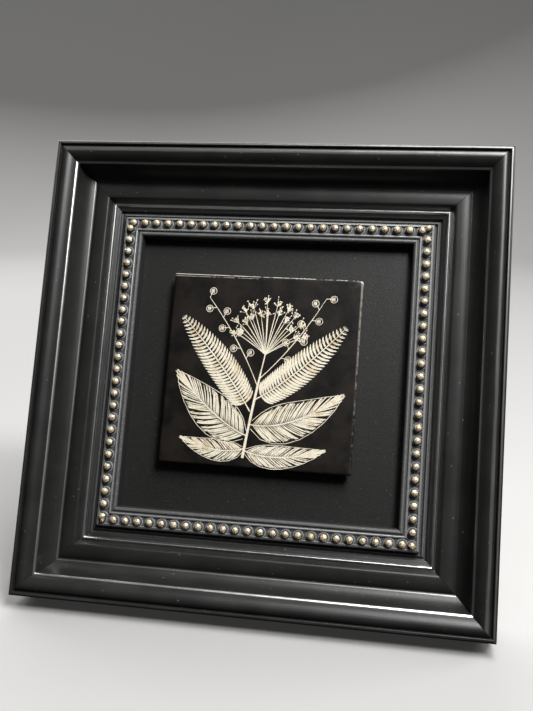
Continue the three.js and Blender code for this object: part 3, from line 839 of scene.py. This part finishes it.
def engraving():
    """The engraved spray: every stroke is a flat ribbon let into the panel's face. Its width is the
    widest width times the root of a sine, no less than the tips' shares, with a little waver."""
    groups = [arc_lines((-6, -47), (-3, -20), (2, 9), 1.5, (1.0, 0.5))]
    groups += seed_head((2, 9), 32, 19, math.radians(58), 0.05)
    groups += broad_leaf((-5, -35), (-24, -28), (-46, -2), 10.5, 44)
    groups += broad_leaf((-3.5, -29), (18, -32), (46, -10), 10.0, 44)
    groups += broad_leaf((-5.5, -42), (-20, -47), (-41, -38), 5.5, 28)
    groups += broad_leaf((-5.5, -43), (12, -49), (38, -40), 6.0, 30)
    groups += fern((-4, -22), (-18, 0), (-45, 28), 8.5, 30)
    groups += fern((-2.5, -16), (18, -4), (45, 26), 8.5, 30)
    groups += berry_twig((-1, -8), (-12, 16), (-31, 39), 7, 1.9)
    groups += berry_twig((0, -4), (18, 14), (33, 41), 7, 1.9)
    strokes = np.vstack(groups)
    count = len(strokes)
    start, control, end = strokes[:, None, 0:2], strokes[:, None, 2:4], strokes[:, None, 4:6]
    t = np.linspace(0, 1, STROKE_STEPS)[None, :, None]
    middle = (1 - t) ** 2 * start + 2 * t * (1 - t) * control + t ** 2 * end
    ahead = np.gradient(middle, axis=1)
    ahead = ahead / np.linalg.norm(ahead, axis=2, keepdims=True)
    left = np.stack([-ahead[..., 1], ahead[..., 0]], -1)
    tips = strokes[:, 7:8] * (1 - t[..., 0]) + strokes[:, 8:9] * t[..., 0]
    swell = np.maximum(np.sin(math.pi * t[..., 0]).clip(0, 1) ** 0.5, tips)
    waver = 1 + WAVER * rng.normal(0, 1, (count, STROKE_STEPS))
    half = (strokes[:, 6:7] * swell * waver / 2).clip(THINNEST, None)
    top = rng.uniform(*STROKE_RISE, (count, 1)) + 0 * half
    foot = -STROKE_SINK + 0 * half
    rows = [(1, foot), (STROKE_SHOULDER, top), (-STROKE_SHOULDER, top), (-1, foot)]
    ring = [np.concatenate([middle + left * (side * half)[..., None], level[..., None]], -1)
            for side, level in rows]
    points = np.stack(ring, 2).reshape(-1, 3)
    faces = shell_faces(STROKE_STEPS, len(rows), count)
    share = np.broadcast_to(t, (count, STROKE_STEPS, len(rows)))
    chance = rng.random((count, 1, 1)) + 0 * share
    lay = np.stack([share, chance, 0 * share], -1).reshape(-1, 3)
    make_piece("engraved_spray", points, faces, FINISHES["scratched_clay"], ["art_panel"],
               lay, place=lambda p: stand(on_panel(p)), crease=30)


panel_board()
engraving()


# Plates, screws and rivets behind

def plate(name, outline, back, front, radius, finish, cad_nodes, place, move=(0, 0), turn=0):
    """A flat plate with rounded edges: its outline carried from the back face to the front one. At
    each edge it is drawn in by the radius times one less the sine of a share of a quarter turn."""
    outline, _ = rounded_outline(outline, radius * 0.5, turn_step=12.0, length_step=4.0)
    ahead = np.roll(outline, -1, 0) - np.roll(outline, 1, 0)
    inward = np.stack([-ahead[:, 1], ahead[:, 0]], 1)
    inward = inward / np.linalg.norm(inward, axis=1, keepdims=True)
    quarter = np.linspace(0, math.pi / 2, 5)
    drawn = radius * (1 - np.sin(np.concatenate([quarter, quarter[::-1]])))
    level = np.concatenate([back + radius * (1 - np.cos(quarter)),
                            front - radius * (1 - np.cos(quarter[::-1]))])
    flat = outline[None] + inward[None] * drawn[:, None, None]
    points = np.concatenate([flat, np.broadcast_to(level[:, None, None], (*flat.shape[:2], 1))], -1)
    rows, columns = flat.shape[:2]
    edge = np.broadcast_to((np.abs(np.linspace(-1, 1, rows)) < 0.95)[:, None], (rows, columns))
    lay = np.concatenate([flat, edge[..., None]], -1).reshape(-1, 3)
    points = turned(points.reshape(-1, 3), turn, "Z") + np.array([*move, 0])
    faces = shell_faces(rows, columns)
    make_piece(name, points, faces, finish, cad_nodes, lay, place, crease=40)


HEAD_SIDES = 48
POLE = 0.02
DOME_FALL = 0.94

# The cross recess. Its depth and its arms' half width and soft side are in millimetres, and its
# reach and soft end are shares of the head
CROSS_DEPTH = 0.8
ARM_HALF = 0.42
ARM_SIDE = 0.16
ARM_REACH = 0.62
ARM_END = 0.14


def domed_head(name, size, seat, tip, middle, finish, cad_node, place, cross=0.0):
    """A screw or rivet seen from behind. Its head rises by its dome times the root of one less
    DOME_FALL times the squared share of its radius. A cross recess sinks it where a point lies near
    either of two lines. Rims with a radius and a height each carry it on down to the tip."""
    head, shank = size["head"], size["shank"]
    share = np.array([0, 0.12, 0.24, 0.36, 0.48, 0.6, 0.72, 0.84, 0.94, 1.0])
    around = np.linspace(0, 2 * math.pi, HEAD_SIDES, endpoint=False)
    radius = head * share[:, None] * np.ones(HEAD_SIDES)
    radius[0] = POLE
    dome = seat - size["dome"] * np.sqrt(1 - DOME_FALL * share[:, None] ** 2) + 0 * radius
    x, y = radius * np.cos(around), radius * np.sin(around)
    arm = np.minimum(np.abs(x), np.abs(y))
    within = np.clip((ARM_REACH - share[:, None]) / ARM_END, 0, 1)
    dome = dome + cross * np.clip((ARM_HALF - arm) / ARM_SIDE, 0, 1) * within
    rims = np.array([(head, seat), (shank, seat), (shank, tip), (POLE, tip)])
    wide, deep = rims.T[:, :, None]
    lower = np.stack(np.broadcast_arrays(wide * np.cos(around), wide * np.sin(around), deep), -1)
    points = np.concatenate([np.stack([x, y, dome], -1), lower]).reshape(-1, 3)
    faces = shell_faces(len(share) + len(rims), HEAD_SIDES)
    make_piece(name, points + np.array([*middle, 0]), faces, finish, [cad_node],
               place=place, crease=38)


def button_outline():
    """A bar with round ends, about its screw."""
    radius = BUTTON["width"] / 2
    half_turn = np.linspace(0, math.pi, 24)
    circle = radius * np.stack([np.cos(half_turn), np.sin(half_turn)], 1)
    return np.vstack([circle + [0, BUTTON["length"] - BUTTON["width"]], -circle])


button_front = -BACK_DEPTH - GAP
button_back = button_front - BUTTON["thickness"]
for side, quarter in (("left", 3), ("right", 1)):
    turn = quarter * math.pi / 2
    for number, along in enumerate((-BUTTON["rise"], BUTTON["rise"]), 1):
        spot = turned(np.array([[along, BUTTON["inset"] - HALF, 0.0]]), turn, "Z")[0, :2]
        plate(f"pressed_button_{side}_{number}", button_outline(), button_back, button_front,
              BUTTON_EDGE, FINISHES["zinc"], [f"turn_button_{side}_{number}"],
              stand, spot, turn)
        domed_head(f"cross_screw_{side}_{number}", SCREW, button_back - GAP,
                   SCREW["length"] - BACK_DEPTH, spot, FINISHES["zinc"],
                   f"button_screw_{side}_{number}", stand, CROSS_DEPTH)

# Rivets of the hinge, on the backing board and on the strut
leaf_back = -BACK_DEPTH - GAP - LEAF_THICKNESS
strut_seat = STRUT["back"] - LEAF_THICKNESS - 2 * GAP
for name, x in (("left", -RIVET["x"]), ("right", RIVET["x"])):
    domed_head(f"board_rivet_{name}", RIVET, leaf_back - GAP, RIVET_TIP,
               (x, PIN[1] + RIVET["y"]), FINISHES["zinc"], f"hinge_rivet_{name}",
               stand)
    domed_head(f"strut_stud_{name}", RIVET, strut_seat, STRUT["front"], (x, -RIVET["y"]),
               FINISHES["zinc"], f"strut_rivet_{name}", hang)


def strut_outline():
    """The strut's board: it hangs from the hinge, widens downwards and has round upper corners. Its
    foot lies below the hinge by the pin's height over the cosine of the board's slope."""
    rise = PIN_PLACE[2] * 1000
    foot = -rise / math.cos(STRUT_ANGLE - LEAN)
    half, top, corner = STRUT["top_half"], STRUT["top"], STRUT["corner"]
    return foot, np.vstack([
        [(-STRUT["foot_half"], foot), (STRUT["foot_half"], foot), (half, top - corner)],
        bow((half, top - corner), (half, top), (half - corner, top)),
        [(corner - half, top)],
        bow((corner - half, top), (-half, top), (-half, top - corner))])


FOOT_REACH = 12.0


def strut_board():
    """The strut's board with its foot cut level: points near the foot slide along the board until
    they reach the table."""
    slope = math.tan(STRUT_ANGLE - LEAN)
    foot, outline = strut_outline()

    def cut_level(points):
        level = foot + slope * points[:, 2]
        near = np.clip(1 - (points[:, 1] - foot) / FOOT_REACH, 0, 1)
        moved = points.copy()
        moved[:, 1] = np.maximum(points[:, 1] + near * (level - foot), level)
        return hang(moved)

    plate("papered_strut", outline, STRUT["back"], STRUT["front"], STRUT_EDGE,
          FINISHES["strut_paper"], ["strut_board"], cut_level)


strut_board()


# Finishes of the CAD's own shapes that show as they are

DRESSED = {
    "mat_board": "mat_paper", "filler_board": "foam_core", "panel_spacer": "foam_core",
    "backing_board": "fibreboard", "hinge_leaf": "zinc", "strut_leaf": "zinc", "hinge_pin": "zinc"}

for cad_node, finish_name in DRESSED.items():
    for slot in frame["nodes"][cad_node].material_slots:
        slot.link = "OBJECT"
        slot.material = FINISHES[finish_name]


# Stage, light and camera

FLOOR_RADIUS = 1.9
FLOOR_POLE = 0.01
COVE_RADIUS = 0.8
COVE_RINGS = 13
WALL_HEIGHT = 3.5
FLOOR_DROP = 0.0002
BOWL_SIDES = 96


def backdrop():
    """A pale paper bowl: a round floor, then a quarter circle up into a wall all round. A ring's
    radius grows with the sine, and its height with one less the cosine, of its share of the
    quarter. It lights nothing and shades nothing."""
    finish = Finish("pale_paper", Base_Color=(0.38, 0.374, 0.367, 1), Roughness=0.9,
                    Emission_Color=(1, 0.99, 0.97, 1), Emission_Strength=0.03)
    bend = np.linspace(0, math.pi / 2, COVE_RINGS)
    radius = np.concatenate([[FLOOR_POLE], FLOOR_RADIUS + COVE_RADIUS * np.sin(bend)])
    height = np.concatenate([[0.0], COVE_RADIUS * (1 - np.cos(bend))])
    radius = np.append(radius, radius[-1])[:, None]
    height = np.append(height, WALL_HEIGHT)[:, None] - FLOOR_DROP
    around = np.linspace(0, 2 * math.pi, BOWL_SIDES, endpoint=False)
    ring = (radius * np.cos(around), radius * np.sin(around), height)
    points = np.stack(np.broadcast_arrays(*ring), -1)
    faces = [list(range(BOWL_SIDES)), *grid_faces(len(radius), BOWL_SIDES)[:, ::-1].tolist()]
    mesh = bpy.data.meshes.new("backdrop")
    mesh.from_pydata(points.reshape(-1, 3).tolist(), [], faces)
    mesh.shade_smooth()
    mesh.materials.append(finish.material)
    sheet = bpy.data.objects.new("backdrop", mesh)
    sheet.visible_glossy = False
    sheet.visible_diffuse = False
    sheet.visible_shadow = False
    bpy.context.scene.collection.objects.link(sheet)


# Soft boxes: place, width and height in metres and power in watts
SOFT_BOXES = {
    "key_box": ((1.13, -1.29, 2.08), 0.6, 0.6, 50),
    "near_box": ((0.29, -0.25, 0.72), 0.2, 0.2, 3.6),
    "high_box": ((0.16, -0.07, 0.95), 0.45, 0.3, 4.3),
    "back_box": ((-0.6, 1.6, 1.5), 1.8, 1.8, 40),
    "right_rear_box": ((1.4, 0.7, 0.8), 0.7, 0.7, 14),
    "left_rear_box": ((-1.4, 0.7, 0.8), 0.7, 0.7, 10)}
LIT_POINT = Vector((0, 0, 0.12))
AIR_STRENGTH = 0.03


def soft_light(name, place, width, height, power):
    """A rectangular soft box that faces the middle of the object."""
    lamp = bpy.data.lights.new(name, "AREA")
    lamp.shape = "RECTANGLE"
    lamp.size = width
    lamp.size_y = height
    lamp.energy = power
    holder = bpy.data.objects.new(name, lamp)
    holder.location = place
    holder.rotation_euler = (LIT_POINT - Vector(place)).to_track_quat("-Z", "Y").to_euler()
    bpy.context.scene.collection.objects.link(holder)


# Camera solved from the frame's four outer corners, in the frame's own axes. Its place is in sides
# of the frame from the middle of its front, and its focal length in pixels of the image's height
CAMERA_PLACE = (0.32437, -0.21720, 1.83211)
CAMERA_RIGHT = (0.98470, 0.07423, -0.15763)
CAMERA_UP = (-0.05129, 0.98811, 0.14491)
FOCAL_PIXELS = 900.7
IMAGE_HEIGHT = 711
SENSOR = 36


def matched_camera():
    """The camera at the photograph's place. Its backward direction is the cross product of right
    and up."""
    matrix = np.eye(4)
    matrix[:3, :2] = turned(np.array([CAMERA_RIGHT, CAMERA_UP]), math.pi / 2 - LEAN, "X").T
    matrix[:3, 2] = np.cross(matrix[:3, 0], matrix[:3, 1])
    matrix[:3, 3] = stand(np.array(CAMERA_PLACE) * SIDE)
    data = bpy.data.cameras.new("camera")
    data.sensor_fit = "AUTO"
    data.sensor_width = SENSOR
    data.lens = SENSOR * FOCAL_PIXELS / IMAGE_HEIGHT
    camera = bpy.data.objects.new("camera", data)
    camera.matrix_world = Matrix(matrix.tolist())
    bpy.context.scene.collection.objects.link(camera)
    bpy.context.scene.camera = camera


backdrop()
for box_name, settings in SOFT_BOXES.items():
    soft_light(box_name, *settings)
matched_camera()

world = bpy.data.worlds.new("studio_air")
world.use_nodes = True
world.node_tree.nodes["Background"].inputs["Color"].default_value = (1, 1, 1, 1)
world.node_tree.nodes["Background"].inputs["Strength"].default_value = AIR_STRENGTH
bpy.context.scene.world = world
bpy.context.scene.view_settings.view_transform = "Standard"
